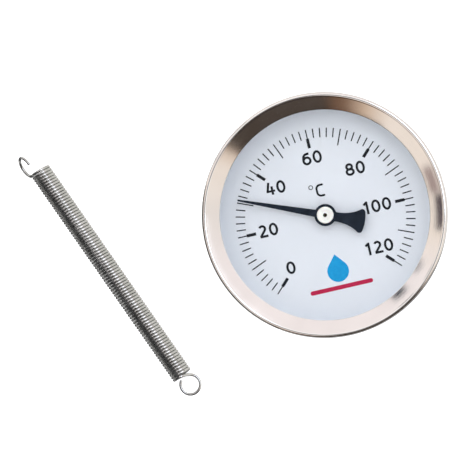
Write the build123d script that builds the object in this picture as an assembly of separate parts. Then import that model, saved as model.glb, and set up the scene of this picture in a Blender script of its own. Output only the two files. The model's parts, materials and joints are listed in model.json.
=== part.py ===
from build123d import *
import math
import os

# A strap-on pipe thermometer: a 63 mm round dial case with a bimetal spiral that turns the pointer, a contact
# saddle riveted under it, and the loose tension spring that straps the saddle to a pipe.
#
# Units are millimetres. +Z runs along the case axis towards the reader, +Y points to the top of the dial (the
# 60 mark) and the pipe would run along Y. The origin is the centre of the contact disc's face, where the
# crown of the pipe touches. The instrument lies on the four feet of its saddle, dial up, with the spring
# beside it.

# ---------------------------------------------------------------- driving dimensions

# heights along the case axis
FEET_Z = -6.0
SADDLE_WEB_Z = 0.5
WELL_FACE_Z = 1.5
CASE_BACK_Z = 4.5
DIAL_Z = 9.6
POINTER_Z = 11.6
FLANGE_TOP_Z = 12.7
LENS_Z = 13.65
BEZEL_TOP_Z = 17.5

# sheet thicknesses
CASE_SHEET = 0.5
BEZEL_SHEET = 0.4
SADDLE_SHEET = 1.0
DIAL_SHEET = 0.5
POINTER_SHEET = 0.3

# case and bezel radii
BEZEL_RADIUS = 31.5
BEZEL_OPENING = 26.95
BEZEL_LIP_RADIUS = 0.75
BEZEL_SLOPE = 27.0
BEZEL_CRIMP_RADIUS = 30.4
BEZEL_CRIMP_BEND = 0.35
CASE_RADIUS = 30.2
WELL_RADIUS = 17.0
FLANGE_RADIUS = 31.0
# bends of the case's middle line: well floor, well top, pan and flange
CASE_BENDS = [1.0, 0.9, 2.2, 0.4]

# lens stack
LENS_RADIUS = 30.7
LENS_THICKNESS = 1.6
LENS_EASE = 0.2
GASKET_WIDTH = 1.3
CLAMP_RING_WIDTH = 2.0
DIAL_RADIUS = 29.4
DIAL_HOLE = 1.4
SUPPORT_RING_WIDTH = 3.0
SUPPORT_RING_CHAMFER = 2.0
KEY_WIDTH = 1.2
KEY_DEPTH = 0.9
LOOSE_FIT = 0.1

# scale
SCALE_MIN = 0
SCALE_MAX = 120
SCALE_STEP = 2
DEGREES_PER_UNIT = 2.25
REST_READING = 30
INK = 0.03
TICK_OUTER = 23.22
TICK_SHORT_INNER = 20.8
TICK_LONG_INNER = 18.9
TICK_BAR_INNER = 18.4
TICK_WIDTH = 0.3
BAR_WIDTH = 0.78
BAR_LAP = 0.1
# the print sits a little off the spindle, as it does on cheap dials
PRINT_OFFSET = (-0.20, -0.67)

# numerals and symbols
DIGIT_HEIGHT = 3.3
DIGIT_WIDTH = 2.35
DIGIT_STROKE = 0.6
DIGIT_PITCH = 2.8
PITCH_AFTER_ONE = 2.48
UNIT_HEIGHT = 3.3
UNIT_WIDTH = 2.15
UNIT_STROKE = 0.52
UNIT_CORNER = 0.95
DEGREE_RADIUS = 0.5
DEGREE_STROKE = 0.2
NUMERALS = {
    "0": (-11.58, -10.53),
    "20": (-15.15, 0.20),
    "40": (-10.83, 10.47),
    "60": (0.05, 15.87),
    "80": (10.27, 10.72),
    "100": (13.50, 0.07),
    "120": (11.64, -10.37),
}
UNIT_CENTRE = (0.21, 7.20)
DEGREE_CENTRE = (-1.98, 8.42)
DROP_CENTRE = (0.1, -14.1)
DROP_RADIUS = 2.8
DROP_HEIGHT = 7.2
RULE_CENTRE = (0.1, -18.3)
RULE_LENGTH = 16.5
RULE_WIDTH = 1.1

# pointer and movement
POINTER_REACH = 23.0
POINTER_TIP_WIDTH = 0.45
POINTER_ROOT_WIDTH = 2.05
POINTER_HUB = 2.85
TAIL_REACH = 10.35
TAIL_NECK_WIDTH = 2.4
TAIL_NECK_START = 2.55
TAIL_HALF_ANGLE = 21.0
TAIL_FLARE = (1.0, -0.95)
TAIL_CORNER = 0.8
BUSH_HEAD = 2.15
BUSH_HEAD_HEIGHT = 0.7
BUSH_EASE = 0.3
BUSH_SHANK = 1.0
BUSH_COLLAR = 1.7
BUSH_COLLAR_HEIGHT = 0.8
SPINDLE_RADIUS = 0.5
SPINDLE_TOP_Z = 12.75
SPINDLE_FOOT_Z = 2.3
SPINDLE_FOOT_CONE = 0.2
SPINDLE_EASE = 0.06
CENTRE_HOLE = 0.3
CENTRE_HOLE_DEPTH = 0.5
RUNNING_CLEARANCE = 0.05

COIL_STRIP = 0.4
COIL_Z = 3.6
COIL_HEIGHT = 3.4
COIL_INNER = 1.9
COIL_OUTER = 10.4
COIL_TURNS = 5
COIL_POINTS_PER_TURN = 12
COLLET_RADIUS = 1.7
COLLET_MARGIN = 0.2
POST_RADIUS = 1.1
POST_STAKE = 0.55
POST_MARGIN = 0.3
POST_ANGLE = 90.0

BRIDGE_SHEET = 1.0
BRIDGE_BEND = 0.8
BRIDGE_WIDTH = 6.0
BRIDGE_TOP_Z = 8.7
BRIDGE_LEG_X = 11.6
BRIDGE_END_X = 15.3
BEARING_RADIUS = 1.8
BEARING_FLANGE = 2.6
BEARING_FLANGE_HEIGHT = 0.5

CONTACT_RADIUS = 5.0
CONTACT_STEM = 2.6
CONTACT_TOP_Z = 3.2
CUP_RADIUS = 1.4
CUP_FOOT_Z = 1.8

# saddle: a channel whose two walls are notched for the pipe
SADDLE_HALF_WIDTH = 17.0
SADDLE_HALF_LENGTH = 12.5
SADDLE_BEND = 1.4
NOTCH_ANGLE = 120.0
NOTCH_APEX_Z = 1.7
EAR_HALF_WIDTH = 4.0
EAR_CORNER = 2.4
EAR_REACH = 6.6
EAR_ANGLE = 35.0
EAR_HOLE = 1.9
EAR_HOLE_FROM_EDGE = 3.3
RIVET_X = 13.8
RIVET_RADIUS = 1.2
RIVET_HEAD = 2.0
RIVET_UPPER_HEAD = 1.4
RIVET_HEAD_HEIGHT = 0.8
RIVET_EASE = 0.6

# tension spring, lying beside the case on the same surface
SPRING_WIRE = 0.75
SPRING_OUTER_RADIUS = 2.85
SPRING_PITCH = 0.8
SPRING_TURNS = 83
SPRING_CENTRE = (-59.2, -2.1)
SPRING_ANGLE = -68.0
EYE_RADIUS = 2.6
EYE_OFFSET = 0.4
EYE_LAP = 0.1
EYE_GAP_ANGLE = 34.0
EYE_ENTRY_ANGLE = 118.0
HOOK_RADIUS = 2.8
HOOK_TILT = 62.0
HOOK_SWEEP = 270.0

# how far cutting shapes run past what they cut
CUT = 1.0

# ---------------------------------------------------------------- shared helpers

BOTTOM = (Align.CENTER, Align.CENTER, Align.MIN)


def disc(radius, low, high):
    """A round plate on the case axis between two heights."""
    return Pos(0, 0, low) * Cylinder(radius, high - low, align=BOTTOM)


def ring(outer, inner, low, high):
    """A round ring on the case axis between two heights."""
    return disc(outer, low, high) - disc(inner, low, high)


def turned(section):
    """A section drawn with x as radius and y as height, turned about the case axis."""
    return revolve(Plane.XZ * section, Axis.Z)


def spun_sheet(corners, radii, thickness):
    """A round sheet-metal shell: the middle line of its section, with bent corners, turned about the axis."""
    return turned(trace(FilletPolyline(*corners, radius=radii), thickness))


def dial_angle(reading):
    """The angle of a scale reading, in degrees clockwise from the top of the dial."""
    return (reading - (SCALE_MIN + SCALE_MAX) / 2) * DEGREES_PER_UNIT


def on_print(shape):
    """Puts a flat drawing on the dial's face, at the print's own centre, as a film of ink."""
    placed = Pos(PRINT_OFFSET[0], PRINT_OFFSET[1], DIAL_Z + DIAL_SHEET) * shape
    return extrude(placed, amount=INK)


# ---------------------------------------------------------------- case


def case_shell():
    """The drawn steel cup: a central well for the bimetal, a shallow outer pan and a flange for the bezel."""
    half = CASE_SHEET / 2
    corners = [
        (0, WELL_FACE_Z + half),
        (WELL_RADIUS - half, WELL_FACE_Z + half),
        (WELL_RADIUS - half, CASE_BACK_Z + half),
        (CASE_RADIUS - half, CASE_BACK_Z + half),
        (CASE_RADIUS - half, FLANGE_TOP_Z - half),
        (FLANGE_RADIUS, FLANGE_TOP_Z - half),
    ]
    shell = spun_sheet(corners, CASE_BENDS, CASE_SHEET)
    shell -= disc(CONTACT_STEM, WELL_FACE_Z - CUT, CASE_BACK_Z)
    for side in (-1, 1):
        shell -= Pos(side * RIVET_X, 0, 0) * disc(RIVET_RADIUS, WELL_FACE_Z - CUT, CASE_BACK_Z)
    return shell - Pos(*post_centre(), 0) * disc(POST_STAKE, WELL_FACE_Z - CUT, CASE_BACK_Z)


def bezel_ring():
    """The pressed bezel: a rolled lip, a band sloping in to the lens and a skirt crimped under the flange."""
    half = BEZEL_SHEET / 2
    slope = math.radians(BEZEL_SLOPE)
    lip = BEZEL_LIP_RADIUS - half
    skirt = BEZEL_RADIUS - half
    crimp_z = FLANGE_TOP_Z - CASE_SHEET - half - RUNNING_CLEARANCE
    lip_centre = (skirt - lip, BEZEL_TOP_Z - BEZEL_LIP_RADIUS)
    lip_end = (lip_centre[0] - lip * math.sin(slope), lip_centre[1] + lip * math.cos(slope))
    band_run = (lip_end[0] - BEZEL_OPENING - half * math.sin(slope)) / math.cos(slope)
    band_end = (lip_end[0] - band_run * math.cos(slope), lip_end[1] - band_run * math.sin(slope))
    fold = [(BEZEL_CRIMP_RADIUS, crimp_z), (skirt, crimp_z), (skirt, lip_centre[1])]
    crimp = FilletPolyline(*fold, radius=BEZEL_CRIMP_BEND)
    lip_arc = CenterArc(lip_centre, lip, 0, 90 + BEZEL_SLOPE)
    band = Line(lip_end, band_end)
    return turned(trace(Wire([*crimp.edges(), lip_arc, band]), BEZEL_SHEET))


def lens():
    """The flat glass, with its edges eased."""
    glass = disc(LENS_RADIUS, LENS_Z, LENS_Z + LENS_THICKNESS)
    return chamfer(glass.edges(), LENS_EASE)


def lens_gasket():
    """The flat seal between the flange and the glass."""
    return ring(LENS_RADIUS, LENS_RADIUS - GASKET_WIDTH, FLANGE_TOP_Z, LENS_Z)


def dial_clamp_ring():
    """The distance ring that the glass presses down on the dial."""
    outer = DIAL_RADIUS - LOOSE_FIT
    return ring(outer, outer - CLAMP_RING_WIDTH, DIAL_Z + DIAL_SHEET, LENS_Z)


def dial_support_ring():
    """The ring that carries the dial off the pan of the case, with a key for the dial's notch."""
    outer = CASE_RADIUS - CASE_SHEET - LOOSE_FIT
    support = ring(outer, outer - SUPPORT_RING_WIDTH, CASE_BACK_Z + CASE_SHEET, DIAL_Z)
    foot = support.edges().filter_by(GeomType.CIRCLE).sort_by(Axis.Z)[:2].sort_by(SortBy.RADIUS)[-1]
    support = chamfer(foot, SUPPORT_RING_CHAMFER)
    key = Box(KEY_WIDTH - LOOSE_FIT, KEY_DEPTH, DIAL_SHEET, align=(Align.CENTER, Align.MIN, Align.MIN))
    return support + Pos(0, -DIAL_RADIUS, DIAL_Z) * key


def dial_plate():
    """The printed aluminium dial, with a spindle hole and a notch that stops it turning."""
    plate = disc(DIAL_RADIUS, DIAL_Z, DIAL_Z + DIAL_SHEET) - disc(DIAL_HOLE, DIAL_Z, DIAL_Z + DIAL_SHEET)
    notch = Box(KEY_WIDTH, 2 * KEY_DEPTH, DIAL_SHEET, align=BOTTOM)
    return plate - Pos(0, -DIAL_RADIUS, DIAL_Z) * notch


# ---------------------------------------------------------------- dial print


def tick(reading, inner, outer, width):
    """One radial mark of the scale."""
    bar = Pos(0, (inner + outer) / 2) * Rectangle(width, outer - inner)
    return Rot(0, 0, -dial_angle(reading)) * bar


def dial_scale():
    """The scale marks: one every 2 units, longer at the odd tens, with a heavy inner bar at the twenties."""
    marks = []
    for reading in range(SCALE_MIN, SCALE_MAX + 1, SCALE_STEP):
        mark = tick(reading, TICK_SHORT_INNER, TICK_OUTER, TICK_WIDTH)
        if reading % 20 == 0:
            mark += tick(reading, TICK_BAR_INNER, TICK_SHORT_INNER + BAR_LAP, BAR_WIDTH)
        elif reading % 10 == 0:
            mark += tick(reading, TICK_LONG_INNER, TICK_OUTER, TICK_WIDTH)
        marks.append(on_print(mark))
    return Compound(marks)


def oval(x, y, across, high):
    """An upright oval ring in the pen's width, given by the middle of its stroke."""
    pen = DIGIT_STROKE / 2
    ring_face = Ellipse(across + pen, high + pen) - Ellipse(across - pen, high - pen)
    return Pos(x, y) * ring_face


# half the width and half the height of a figure, to the middle of its stroke
W = (DIGIT_WIDTH - DIGIT_STROKE) / 2
H = (DIGIT_HEIGHT - DIGIT_STROKE) / 2


def figure_0():
    """A tall oval."""
    return oval(0, 0, W, H)


def figure_1():
    """A stem with a flag and no foot."""
    stem_x = 0.2
    top = DIGIT_HEIGHT / 2
    stem = Pos(stem_x, 0) * Rectangle(DIGIT_STROKE, DIGIT_HEIGHT)
    return stem + trace(Line((stem_x - 0.82, 0.62 * H), (stem_x, top - 0.28)), DIGIT_STROKE)


def figure_2():
    """A round bowl that runs straight down to the foot."""
    radius = 0.72
    lean = 49.0
    centre = (-0.05, H - radius)
    bowl = CenterArc(centre, radius, 152, -152 - (90 - lean))
    leave = bowl @ 1
    fall = leave.Y + H
    stem = Line(leave, (leave.X - fall / math.tan(math.radians(lean)), -H))
    foot_length = 2.1
    foot = Pos(0.12, -H) * Rectangle(foot_length, DIGIT_STROKE)
    return trace(Wire([bowl, stem]), DIGIT_STROKE) + foot


def figure_4():
    """An open four: the slope stops short of the stem."""
    bar_y = -0.48 * H
    slope = trace(Line((-0.18, DIGIT_HEIGHT / 2), (-0.94 * W, bar_y)), DIGIT_STROKE)
    bar = Pos(0, bar_y) * Rectangle(2 * W + 0.5, DIGIT_STROKE * 0.9)
    stem = Pos(0.42, -0.38 * H) * Rectangle(DIGIT_STROKE, 1.62 * H)
    return slope + bar + stem


def figure_6():
    """A low oval with a back that curls over it."""
    bowl_y = -0.38 * H
    back = Spline((0.9 * W, 0.93 * H), (-0.42 * W, 0.78 * H), (-W, bowl_y), tangents=[(-1, 0.05), (0, -1)])
    return oval(0, bowl_y, W, 0.62 * H) + trace(back, DIGIT_STROKE)


def figure_8():
    """A smaller oval on a larger one."""
    return oval(0, 0.49 * H, 0.81 * W, 0.49 * H) + oval(0, -0.47 * H, W, 0.53 * H)


FIGURES = {"0": figure_0, "1": figure_1, "2": figure_2, "4": figure_4, "6": figure_6, "8": figure_8}


def dial_numerals():
    """The figures beside the heavy marks."""
    figures = []
    for text, (x, y) in NUMERALS.items():
        steps = [PITCH_AFTER_ONE if character == "1" else DIGIT_PITCH for character in text[:-1]]
        place = x - sum(steps) / 2
        for character, step in zip(text, [*steps, 0]):
            figures.append(on_print(Pos(place, y) * FIGURES[character]()))
            place += step
    return Compound(figures)


def dial_unit():
    """The degree sign and the C."""
    w = (UNIT_WIDTH - UNIT_STROKE) / 2
    h = (UNIT_HEIGHT - UNIT_STROKE) / 2
    path = FilletPolyline((w, h), (-w, h), (-w, -h), (w, -h), radius=UNIT_CORNER)
    letter = trace(path, UNIT_STROKE)
    for end in (-h, h):
        letter += Pos(w, end) * Circle(UNIT_STROKE / 2)
    degree = Circle(DEGREE_RADIUS + DEGREE_STROKE / 2) - Circle(DEGREE_RADIUS - DEGREE_STROKE / 2)
    return Compound([on_print(Pos(*UNIT_CENTRE) * letter), on_print(Pos(*DEGREE_CENTRE) * degree)])


def dial_drop():
    """A plain drop, the first half of the dial's ornament: a circle drawn up to a point."""
    lift = DROP_HEIGHT - DROP_RADIUS
    touch = math.asin(DROP_RADIUS / lift)
    side = (DROP_RADIUS * math.cos(touch), DROP_RADIUS * math.sin(touch))
    roof = Polygon((0, lift), (-side[0], side[1]), side, align=None)
    return on_print(Pos(*DROP_CENTRE) * (Circle(DROP_RADIUS) + roof))


def dial_rule():
    """A plain rule under the drop, the second half of the ornament."""
    return on_print(Pos(*RULE_CENTRE) * SlotOverall(RULE_LENGTH, RULE_WIDTH))


# ---------------------------------------------------------------- pointer and spindle


def at_rest(shape):
    """Turns a shape drawn towards the top of the dial to the reading at rest."""
    return Rot(0, 0, -dial_angle(REST_READING)) * shape


def pointer():
    """The blade with its round hub and its fan-shaped counterweight, cut from thin sheet."""
    blade = Polygon(
        (-POINTER_ROOT_WIDTH / 2, 0),
        (POINTER_ROOT_WIDTH / 2, 0),
        (POINTER_TIP_WIDTH / 2, POINTER_REACH),
        (-POINTER_TIP_WIDTH / 2, POINTER_REACH),
        align=None,
    )
    half = math.radians(TAIL_HALF_ANGLE)
    corner = (TAIL_REACH * math.sin(half), -TAIL_REACH * math.cos(half))
    neck = (TAIL_NECK_WIDTH / 2, -TAIL_NECK_START)
    sides = []
    for side in (-1, 1):
        start = (side * neck[0], neck[1])
        end = (side * corner[0], corner[1])
        flare = (side * TAIL_FLARE[0], TAIL_FLARE[1])
        sides.append(Spline(start, end, tangents=[(0, -1), flare]))
    arc = ThreePointArc((-corner[0], corner[1]), (0, -TAIL_REACH), corner)
    top = Line((-neck[0], neck[1]), neck)
    fan = make_face([*sides, arc, top])
    tips = fan.vertices().sort_by(Axis.Y)[:2]
    fan = fillet(tips, TAIL_CORNER)
    outline = blade + fan + Circle(POINTER_HUB) - Circle(BUSH_SHANK)
    return at_rest(extrude(Pos(0, 0, POINTER_Z) * outline, amount=POINTER_SHEET))


def pointer_bush():
    """The pale bush that grips the pointer between its head and collar and presses on the spindle."""
    top = POINTER_Z + POINTER_SHEET
    head = disc(BUSH_HEAD, top, top + BUSH_HEAD_HEIGHT)
    head = fillet(head.edges().sort_by(Axis.Z)[-1], BUSH_EASE)
    shank = disc(BUSH_SHANK, POINTER_Z, top)
    collar = disc(BUSH_COLLAR, POINTER_Z - BUSH_COLLAR_HEIGHT, POINTER_Z)
    return head + shank + collar - disc(SPINDLE_RADIUS, COIL_Z, BEZEL_TOP_Z)


def spindle():
    """The rod that carries the pointer: a coned foot in the lower bearing, a centre hole in its top end."""
    rod = disc(SPINDLE_RADIUS, SPINDLE_FOOT_Z, SPINDLE_TOP_Z)
    rod = chamfer(rod.edges().sort_by(Axis.Z)[0], SPINDLE_FOOT_CONE)
    rod = chamfer(rod.edges().sort_by(Axis.Z)[-1], SPINDLE_EASE)
    return rod - disc(CENTRE_HOLE, SPINDLE_TOP_Z - CENTRE_HOLE_DEPTH, SPINDLE_TOP_Z)


def coil_collet():
    """The sleeve that fixes the inner end of the bimetal spiral to the spindle."""
    low = COIL_Z - COLLET_MARGIN
    sleeve = ring(COLLET_RADIUS, SPINDLE_RADIUS, low, COIL_Z + COIL_HEIGHT + COLLET_MARGIN)
    return sleeve - bimetal_coil()


# ---------------------------------------------------------------- movement fixed in the case


def post_centre():
    """Where the anchor post stands."""
    angle = math.radians(POST_ANGLE)
    reach = COIL_OUTER + COIL_STRIP
    return (reach * math.cos(angle), reach * math.sin(angle))


def bimetal_coil():
    """The flat spiral of bimetal strip, from a radial tab in the collet out to the anchor post."""
    turn = 2 * math.pi * COIL_TURNS
    start = math.radians(POST_ANGLE) - turn
    count = COIL_POINTS_PER_TURN * COIL_TURNS
    points = []
    for i in range(count + 1):
        share = i / count
        radius = COIL_INNER + (COIL_OUTER - COIL_INNER) * share
        points.append((radius * math.cos(start + turn * share), radius * math.sin(start + turn * share)))
    spiral = Spline(*points)
    inward = Line(((SPINDLE_RADIUS + COLLET_RADIUS) / 2, 0), (COIL_INNER, 0))
    tab = Rot(0, 0, math.degrees(start)) * inward
    strip = trace(spiral, COIL_STRIP) + trace(tab, COIL_STRIP)
    outer = Rot(0, 0, POST_ANGLE) * Line((COIL_OUTER, 0), (COIL_OUTER + COIL_STRIP, 0))
    strip += trace(outer, COIL_STRIP)
    return extrude(Pos(0, 0, COIL_Z) * strip, amount=COIL_HEIGHT)


def anchor_post():
    """The slotted post, staked in the floor of the well, that holds the outer end of the spiral."""
    x, y = post_centre()
    post = disc(POST_RADIUS, WELL_FACE_Z + CASE_SHEET, COIL_Z + COIL_HEIGHT + POST_MARGIN)
    post += disc(POST_STAKE, WELL_FACE_Z, WELL_FACE_Z + CASE_SHEET)
    return Pos(x, y, 0) * post - bimetal_coil()


def bridge():
    """The strip that spans the spiral and carries the upper bearing; its feet share the saddle's rivets."""
    half = BRIDGE_SHEET / 2
    floor_z = WELL_FACE_Z + CASE_SHEET + half
    top_z = BRIDGE_TOP_Z - half
    corners = [
        (-BRIDGE_END_X, floor_z),
        (-BRIDGE_LEG_X, floor_z),
        (-BRIDGE_LEG_X, top_z),
        (BRIDGE_LEG_X, top_z),
        (BRIDGE_LEG_X, floor_z),
        (BRIDGE_END_X, floor_z),
    ]
    section = trace(FilletPolyline(*corners, radius=BRIDGE_BEND), BRIDGE_SHEET)
    strip = extrude(Plane.XZ * section, amount=BRIDGE_WIDTH / 2, both=True)
    strip -= disc(BEARING_RADIUS, top_z - CUT, top_z + CUT)
    for side in (-1, 1):
        strip -= Pos(side * RIVET_X, 0, 0) * disc(RIVET_RADIUS, floor_z - CUT, floor_z + CUT)
    return strip


def upper_bearing():
    """The flanged bush in the bridge."""
    low = BRIDGE_TOP_Z - BRIDGE_SHEET
    body = disc(BEARING_RADIUS, low, BRIDGE_TOP_Z)
    flange = disc(BEARING_FLANGE, low - BEARING_FLANGE_HEIGHT, low)
    return body + flange - disc(SPINDLE_RADIUS + RUNNING_CLEARANCE, low - CUT, BRIDGE_TOP_Z)


def contact_disc():
    """The brass disc that touches the pipe and leads its heat through the case to the spiral."""
    pad = disc(CONTACT_RADIUS, 0, WELL_FACE_Z)
    stem = disc(CONTACT_STEM, WELL_FACE_Z, CONTACT_TOP_Z)
    return pad + stem - disc(CUP_RADIUS, CUP_FOOT_Z, CONTACT_TOP_Z)


def lower_bearing():
    """The cup bearing pressed in the contact disc's stem."""
    cup = disc(CUP_RADIUS, CUP_FOOT_Z, CONTACT_TOP_Z)
    return cup - disc(SPINDLE_RADIUS + RUNNING_CLEARANCE, SPINDLE_FOOT_Z - RUNNING_CLEARANCE, CONTACT_TOP_Z)


# ---------------------------------------------------------------- saddle


def ear(side):
    """One hook ear: a tab bent down from the end of the web, with a hole for the spring's hook."""
    bend_line = Pos(SADDLE_HALF_WIDTH, 0, WELL_FACE_Z)
    tab = Box(EAR_REACH, 2 * EAR_HALF_WIDTH, SADDLE_SHEET, align=(Align.MIN, Align.CENTER, Align.MAX))
    ends = tab.edges().filter_by(Axis.Z).sort_by(Axis.X)[-2:]
    tab = fillet(ends, EAR_CORNER)
    tab -= Pos(EAR_REACH - EAR_HOLE_FROM_EDGE, 0, 0) * Cylinder(EAR_HOLE, 3 * SADDLE_SHEET)
    # the outside of the bend is a quarter of a round bar about the bend line
    bar = Cylinder(SADDLE_SHEET, 2 * EAR_HALF_WIDTH, rotation=(90, 0, 0))
    below = Pos(0, 0, -SADDLE_SHEET) * Box(2 * SADDLE_SHEET, 2 * EAR_HALF_WIDTH, SADDLE_SHEET, align=BOTTOM)
    formed = bend_line * (Rot(0, EAR_ANGLE, 0) * tab + (bar & below))
    return formed if side > 0 else mirror(formed, Plane.YZ)


def pipe_saddle():
    """The pressed channel: a web under the well and two notched walls that straddle the pipe."""
    half = SADDLE_SHEET / 2
    web_z = SADDLE_WEB_Z + half
    wall_y = SADDLE_HALF_LENGTH - half
    corners = [(-wall_y, FEET_Z), (-wall_y, web_z), (wall_y, web_z), (wall_y, FEET_Z)]
    section = trace(FilletPolyline(*corners, radius=SADDLE_BEND), SADDLE_SHEET)
    channel = extrude(Plane.YZ * section, amount=SADDLE_HALF_WIDTH, both=True)
    spread = math.tan(math.radians(NOTCH_ANGLE / 2))
    foot_gap = (NOTCH_APEX_Z - FEET_Z + CUT) * spread
    crown = (NOTCH_APEX_Z - SADDLE_WEB_Z) * spread
    notch = Polygon(
        (-crown, SADDLE_WEB_Z),
        (crown, SADDLE_WEB_Z),
        (foot_gap, FEET_Z - CUT),
        (-foot_gap, FEET_Z - CUT),
        align=None,
    )
    channel -= extrude(Plane.XZ * notch, amount=SADDLE_HALF_LENGTH + CUT, both=True)
    channel -= disc(CONTACT_RADIUS, SADDLE_WEB_Z - CUT, WELL_FACE_Z)
    for side in (-1, 1):
        channel += ear(side)
        channel -= Pos(side * RIVET_X, 0, 0) * disc(RIVET_RADIUS, SADDLE_WEB_Z - CUT, WELL_FACE_Z + CUT)
    return channel


def saddle_rivets():
    """The two rivets through the web, the case and the bridge's feet, with a domed head each side."""
    rivets = []
    bottom = SADDLE_WEB_Z
    top = WELL_FACE_Z + CASE_SHEET + BRIDGE_SHEET
    for side in (-1, 1):
        shank = disc(RIVET_RADIUS, bottom, top)
        lower = disc(RIVET_HEAD, bottom - RIVET_HEAD_HEIGHT, bottom)
        lower = fillet(lower.edges().sort_by(Axis.Z)[0], RIVET_EASE)
        upper = disc(RIVET_UPPER_HEAD, top, top + RIVET_HEAD_HEIGHT)
        upper = fillet(upper.edges().sort_by(Axis.Z)[-1], RIVET_EASE)
        rivets.append(Pos(side * RIVET_X, 0, 0) * (shank + lower + upper))
    return Compound(rivets)


# ---------------------------------------------------------------- tension spring

SPRING_AXIS_Z = FEET_Z + SPRING_OUTER_RADIUS
SPRING_HALF_LENGTH = SPRING_PITCH * SPRING_TURNS / 2
SPRING_MEAN_RADIUS = SPRING_OUTER_RADIUS - SPRING_WIRE / 2
SPRING_PLACE = Pos(SPRING_CENTRE[0], SPRING_CENTRE[1], SPRING_AXIS_Z) * Rot(0, 0, SPRING_ANGLE)


def wire_along(path):
    """Round spring wire swept along a path."""
    start = path @ 0
    section = Plane(origin=start, z_dir=path % 0) * Circle(SPRING_WIRE / 2)
    return sweep(section, path=path)


def coil_space():
    """The stretch of the spring's axis that the close-wound body takes up."""
    return Box(2 * SPRING_HALF_LENGTH, 4 * SPRING_OUTER_RADIUS, 4 * SPRING_OUTER_RADIUS)


def clamp_spring_coil():
    """The close-wound body of the spring, as a tube whose wall holds the same metal as the wire."""
    steel = math.pi * (SPRING_WIRE / 2) ** 2 * 2 * math.pi * SPRING_MEAN_RADIUS / SPRING_PITCH
    inner = math.sqrt(SPRING_OUTER_RADIUS**2 - steel / math.pi)
    tube = Cylinder(SPRING_OUTER_RADIUS, 2 * SPRING_HALF_LENGTH) - Cylinder(inner, 2 * SPRING_HALF_LENGTH)
    return SPRING_PLACE * Rot(0, 90, 0) * tube


def clamp_spring_eye():
    """The nearly closed eye, bent out of the last turn and lying flat."""
    centre = (SPRING_HALF_LENGTH + EYE_RADIUS - EYE_LAP, EYE_OFFSET, 0)
    sweep_angle = EYE_ENTRY_ANGLE + 180 - EYE_GAP_ANGLE
    eye = CenterArc(centre, EYE_RADIUS, EYE_ENTRY_ANGLE, -sweep_angle)
    entry = eye @ 0
    # the leg comes off the top of the last turn, a little before its crown, and falls to the eye's level
    leave_y, leave_z = -0.9, 0.93 * SPRING_MEAN_RADIUS
    middle = (SPRING_HALF_LENGTH + 0.45, 1.0, 0.78 * SPRING_MEAN_RADIUS)
    leg = ThreePointArc((SPRING_HALF_LENGTH, leave_y, leave_z), middle, entry)
    body = wire_along(eye) + wire_along(leg) + Pos(entry) * Sphere(SPRING_WIRE / 2)
    return SPRING_PLACE * (body - coil_space())


def clamp_spring_hook():
    """The open hook at the other end: three quarters of a turn in a plane tilted about the spring's axis."""
    across = (0, -math.cos(math.radians(HOOK_TILT)), -math.sin(math.radians(HOOK_TILT)))
    centre = (-SPRING_HALF_LENGTH - HOOK_RADIUS, -SPRING_MEAN_RADIUS, 0)
    normal = Vector(1, 0, 0).cross(Vector(*across))
    plane = Plane(origin=centre, x_dir=(1, 0, 0), z_dir=normal)
    arc = plane * CenterArc((0, 0), HOOK_RADIUS, 0, HOOK_SWEEP)
    return SPRING_PLACE * (wire_along(arc) - coil_space())


# ---------------------------------------------------------------- export

NODES = [
    case_shell,
    bezel_ring,
    lens,
    lens_gasket,
    dial_clamp_ring,
    dial_support_ring,
    dial_plate,
    dial_scale,
    dial_numerals,
    dial_unit,
    dial_drop,
    dial_rule,
    pointer,
    pointer_bush,
    spindle,
    coil_collet,
    bimetal_coil,
    anchor_post,
    bridge,
    upper_bearing,
    contact_disc,
    lower_bearing,
    pipe_saddle,
    saddle_rivets,
    clamp_spring_coil,
    clamp_spring_eye,
    clamp_spring_hook,
]

os.makedirs("parts", exist_ok=True)
for make in NODES:
    export_step(make(), os.path.join("parts", make.__name__ + ".step"))
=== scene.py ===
import json
import math

import bmesh
import bpy
from mathutils import Matrix, Vector


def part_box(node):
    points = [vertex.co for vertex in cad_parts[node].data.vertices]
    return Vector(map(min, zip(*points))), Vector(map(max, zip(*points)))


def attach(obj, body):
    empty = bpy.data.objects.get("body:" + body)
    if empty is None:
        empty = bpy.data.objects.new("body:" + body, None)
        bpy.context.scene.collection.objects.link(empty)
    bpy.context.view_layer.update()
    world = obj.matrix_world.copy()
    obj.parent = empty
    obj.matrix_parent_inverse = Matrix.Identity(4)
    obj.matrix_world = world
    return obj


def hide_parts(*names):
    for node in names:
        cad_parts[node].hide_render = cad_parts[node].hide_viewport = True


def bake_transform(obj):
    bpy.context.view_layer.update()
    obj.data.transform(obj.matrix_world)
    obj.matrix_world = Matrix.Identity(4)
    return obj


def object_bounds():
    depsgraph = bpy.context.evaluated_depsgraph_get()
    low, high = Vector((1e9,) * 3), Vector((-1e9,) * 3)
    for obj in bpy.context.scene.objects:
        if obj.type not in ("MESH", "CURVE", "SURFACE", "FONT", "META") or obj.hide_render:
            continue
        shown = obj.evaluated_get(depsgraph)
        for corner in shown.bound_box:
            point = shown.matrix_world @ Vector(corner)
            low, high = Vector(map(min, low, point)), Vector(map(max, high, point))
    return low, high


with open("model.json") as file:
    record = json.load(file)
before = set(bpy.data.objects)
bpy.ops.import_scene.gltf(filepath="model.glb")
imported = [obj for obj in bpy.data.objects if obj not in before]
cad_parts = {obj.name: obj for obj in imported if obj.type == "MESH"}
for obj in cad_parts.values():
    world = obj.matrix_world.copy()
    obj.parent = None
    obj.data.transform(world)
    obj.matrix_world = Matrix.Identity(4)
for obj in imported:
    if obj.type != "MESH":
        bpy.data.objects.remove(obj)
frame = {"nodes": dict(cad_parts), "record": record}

# The dial thermometer and its loose clamp spring, in metres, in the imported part's own frame: the origin is
# where the pipe's crown touches, +Z runs to the reader and +Y to the top of the dial.

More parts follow.
